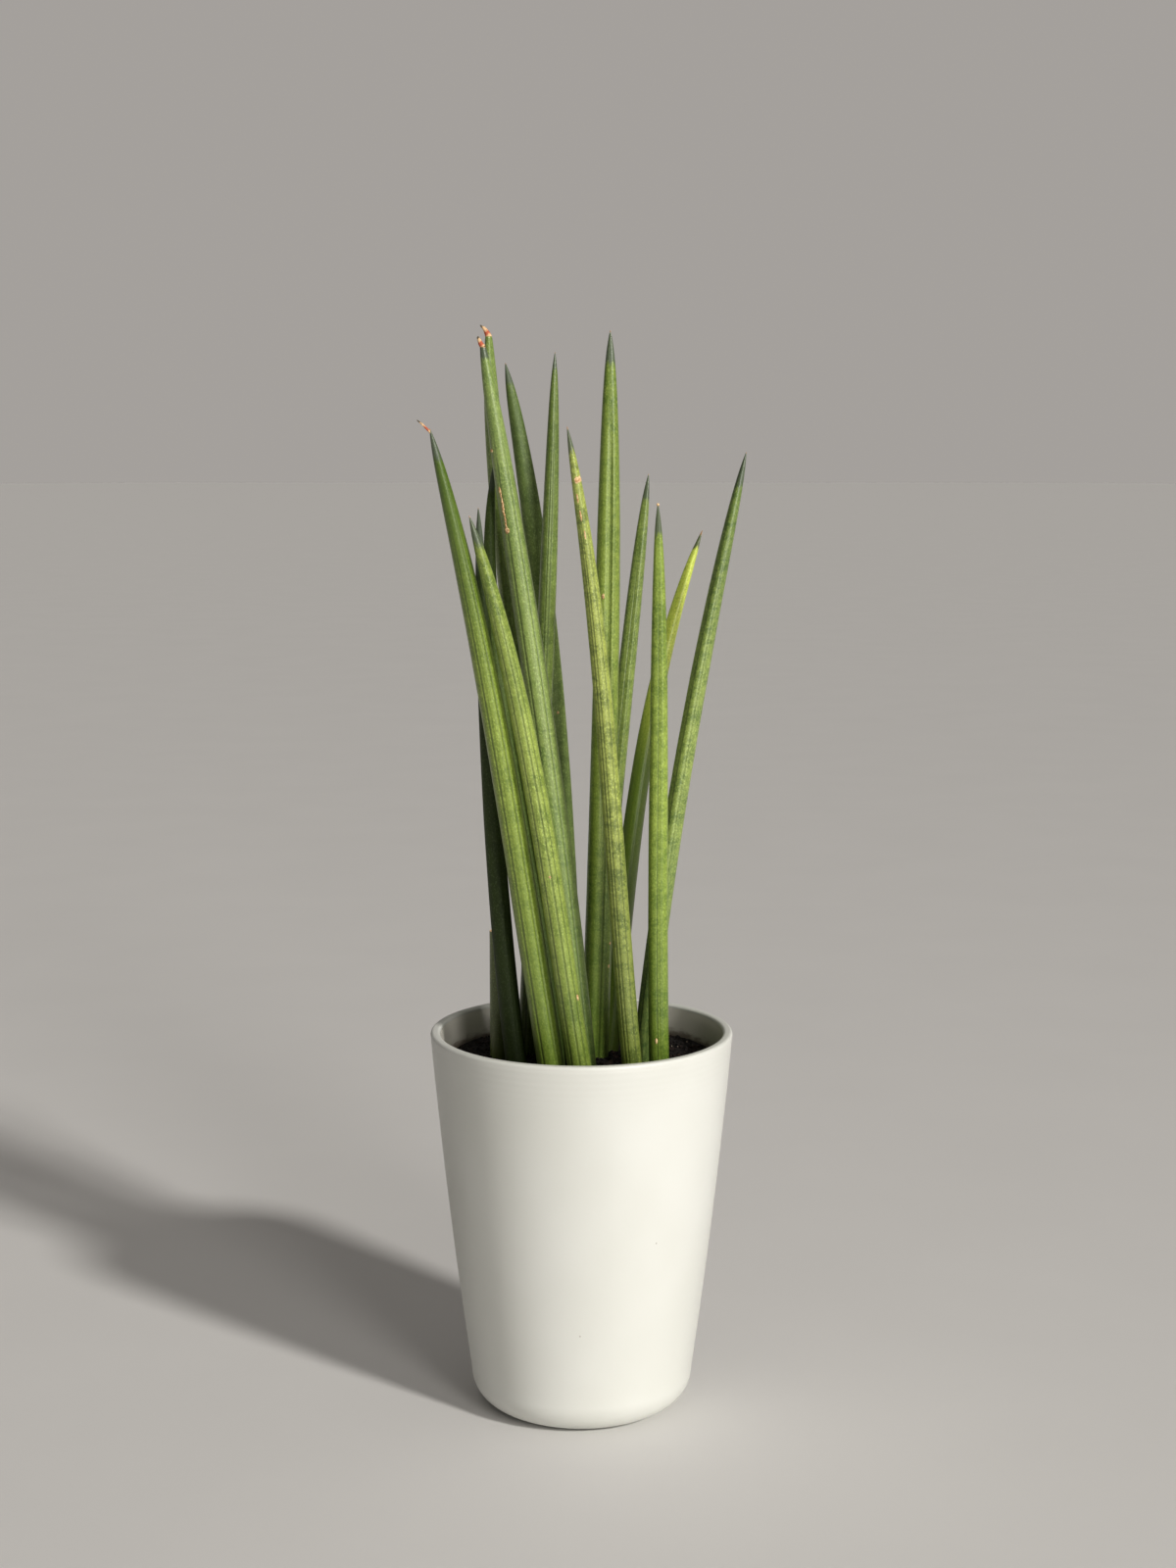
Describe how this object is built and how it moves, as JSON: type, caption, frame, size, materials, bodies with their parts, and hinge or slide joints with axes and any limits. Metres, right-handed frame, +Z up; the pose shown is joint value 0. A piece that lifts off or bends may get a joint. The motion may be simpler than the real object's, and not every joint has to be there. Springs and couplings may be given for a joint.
{
  "type": "potted cylindrical snake plant",
  "caption": "Potted cylindrical snake plant: round upright tapering leaves fanning out of dark soil in a tapered white ceramic pot with a rounded foot",
  "frame": {"origin": "middle of the pot's flat base, on the surface that it stands on", "axes": "+Z up along the pot's axis; -Y towards the viewer of the picture; +X to the viewer's right"},
  "size_m": [0.1444, 0.1398, 0.497],
  "materials": {
    "pot_glaze": "satin",
    "soil": "matte",
    "leaf": "satin"
  },
  "bodies": {
    "root": {"pot": "pot_glaze", "soil": "soil", "leaf_left_front": "leaf", "leaf_middle_front": "leaf", "leaf_mottled_front": "leaf", "leaf_right_front": "leaf", "leaf_scarred": "leaf", "leaf_tall_left": "leaf", "leaf_back_left": "leaf", "leaf_upright": "leaf", "leaf_dark_left": "leaf", "leaf_hidden_left": "leaf", "leaf_tall_right": "leaf", "leaf_slim_right": "leaf", "leaf_young_right": "leaf", "leaf_far_right": "leaf", "leaf_cut_stub": "leaf"}
  },
  "joints": []
}
